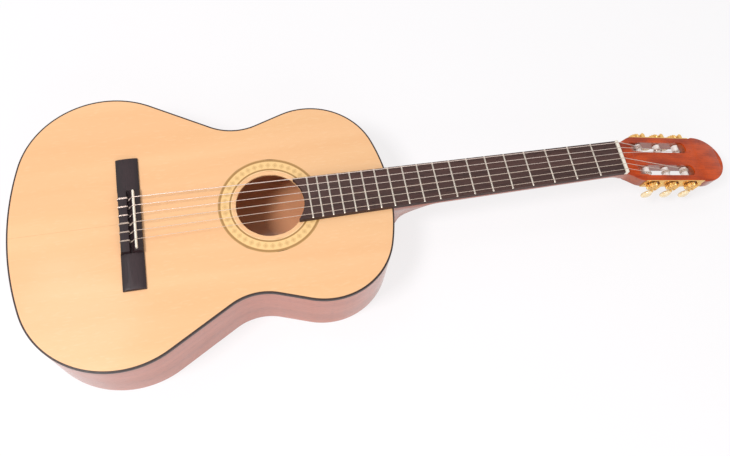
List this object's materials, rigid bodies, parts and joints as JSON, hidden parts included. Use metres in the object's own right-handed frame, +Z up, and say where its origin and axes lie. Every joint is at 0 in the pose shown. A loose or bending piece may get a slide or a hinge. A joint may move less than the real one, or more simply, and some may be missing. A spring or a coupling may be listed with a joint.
{
  "type": "classical guitar",
  "caption": "Classical guitar: hollow wooden body, glued neck with fretted fingerboard, tie bridge, and slotted head with geared tuners that turn.",
  "frame": {"origin": "under the middle of the guitar's length and width, on the plane of its flat back", "axes": "+X from the tail to the head, +Y from the treble side to the bass side, +Z up, out of the soundboard"},
  "size_m": [0.9946, 0.374, 0.1101],
  "materials": {
    "spruce_top": "clear gloss lacquer over straight spruce grain",
    "rosette_inlay": "inlaid wood mosaic under lacquer",
    "mahogany_back": "gloss lacquer",
    "mahogany_sides": "gloss lacquer",
    "black_binding": "polished plastic strip",
    "inner_spruce": "bare planed wood",
    "block_wood": "bare planed wood",
    "dark_rosewood": "oiled, open grain",
    "ivory_plastic": "polished",
    "neck_wood": "satin lacquer",
    "face_veneer": "high gloss lacquer",
    "fret_metal": "polished nickel silver",
    "gilt_metal": "gold-plated steel",
    "pearl_button": "pearly cream plastic",
    "roller_plastic": "moulded plastic",
    "clear_nylon": "clear drawn nylon",
    "wound_nylon": "fine metal winding over nylon"
  },
  "bodies": {
    "guitar": {"soundboard": "spruce_top", "rosette": "rosette_inlay", "back_plate": "mahogany_back", "rib_bass": "mahogany_sides", "rib_treble": "mahogany_sides", "binding": "black_binding", "top_linings": "inner_spruce", "back_linings": "inner_spruce", "neck_block": "block_wood", "tail_block": "block_wood", "fan_struts": "inner_spruce", "upper_bar": "inner_spruce", "lower_bar": "inner_spruce", "bridge_patch": "inner_spruce", "back_bars": "inner_spruce", "bridge": "dark_rosewood", "saddle": "ivory_plastic", "neck": "neck_wood", "heel_cap": "dark_rosewood", "head_plate": "face_veneer", "fingerboard": "dark_rosewood", "frets": "fret_metal", "nut": "ivory_plastic", "side_plate_bass": "gilt_metal", "side_plate_treble": "gilt_metal", "plate_screws": "gilt_metal", "string_1": "clear_nylon", "string_2": "clear_nylon", "string_3": "clear_nylon", "string_4": "wound_nylon", "string_5": "wound_nylon", "string_6": "wound_nylon"},
    "tuning_key_1": {"worm_1": "gilt_metal", "button_1": "pearl_button"},
    "string_post_1": {"roller_1": "roller_plastic", "gear_1": "gilt_metal"},
    "tuning_key_2": {"worm_2": "gilt_metal", "button_2": "pearl_button"},
    "string_post_2": {"roller_2": "roller_plastic", "gear_2": "gilt_metal"},
    "tuning_key_3": {"worm_3": "gilt_metal", "button_3": "pearl_button"},
    "string_post_3": {"roller_3": "roller_plastic", "gear_3": "gilt_metal"},
    "tuning_key_4": {"worm_4": "gilt_metal", "button_4": "pearl_button"},
    "string_post_4": {"roller_4": "roller_plastic", "gear_4": "gilt_metal"},
    "tuning_key_5": {"worm_5": "gilt_metal", "button_5": "pearl_button"},
    "string_post_5": {"roller_5": "roller_plastic", "gear_5": "gilt_metal"},
    "tuning_key_6": {"worm_6": "gilt_metal", "button_6": "pearl_button"},
    "string_post_6": {"roller_6": "roller_plastic", "gear_6": "gilt_metal"}
  },
  "joints": [
    {"name": "key_1", "type": "hinge", "parent": "guitar", "child": "tuning_key_1", "pos_m": [0.36758, -0.0396, 0.07405], "axis": [0.2588, 0, 0.9659], "continuous": true},
    {"name": "post_1", "type": "hinge", "parent": "guitar", "child": "string_post_1", "pos_m": [0.35734, -0.0185, 0.07679], "axis": [0, 1, 0], "continuous": true},
    {"name": "key_2", "type": "hinge", "parent": "guitar", "child": "tuning_key_2", "pos_m": [0.40139, -0.0396, 0.06499], "axis": [0.2588, 0, 0.9659], "continuous": true},
    {"name": "post_2", "type": "hinge", "parent": "guitar", "child": "string_post_2", "pos_m": [0.39115, -0.0185, 0.06773], "axis": [0, 1, 0], "continuous": true},
    {"name": "key_3", "type": "hinge", "parent": "guitar", "child": "tuning_key_3", "pos_m": [0.43519, -0.0396, 0.05593], "axis": [0.2588, 0, 0.9659], "continuous": true},
    {"name": "post_3", "type": "hinge", "parent": "guitar", "child": "string_post_3", "pos_m": [0.42496, -0.0185, 0.05867], "axis": [0, 1, 0], "continuous": true},
    {"name": "key_4", "type": "hinge", "parent": "guitar", "child": "tuning_key_4", "pos_m": [0.43519, 0.0396, 0.05593], "axis": [0.2588, 0, 0.9659], "continuous": true},
    {"name": "post_4", "type": "hinge", "parent": "guitar", "child": "string_post_4", "pos_m": [0.42496, 0.0185, 0.05867], "axis": [0, 1, 0], "continuous": true},
    {"name": "key_5", "type": "hinge", "parent": "guitar", "child": "tuning_key_5", "pos_m": [0.40139, 0.0396, 0.06499], "axis": [0.2588, 0, 0.9659], "continuous": true},
    {"name": "post_5", "type": "hinge", "parent": "guitar", "child": "string_post_5", "pos_m": [0.39115, 0.0185, 0.06773], "axis": [0, 1, 0], "continuous": true},
    {"name": "key_6", "type": "hinge", "parent": "guitar", "child": "tuning_key_6", "pos_m": [0.36758, 0.0396, 0.07405], "axis": [0.2588, 0, 0.9659], "continuous": true},
    {"name": "post_6", "type": "hinge", "parent": "guitar", "child": "string_post_6", "pos_m": [0.35734, 0.0185, 0.07679], "axis": [0, 1, 0], "continuous": true}
  ],
  "couplings": [
    {"joint": "post_1", "follows": "key_1", "ratio": 0.071429},
    {"joint": "post_2", "follows": "key_2", "ratio": 0.071429},
    {"joint": "post_3", "follows": "key_3", "ratio": 0.071429},
    {"joint": "post_4", "follows": "key_4", "ratio": 0.071429},
    {"joint": "post_5", "follows": "key_5", "ratio": 0.071429},
    {"joint": "post_6", "follows": "key_6", "ratio": 0.071429}
  ]
}
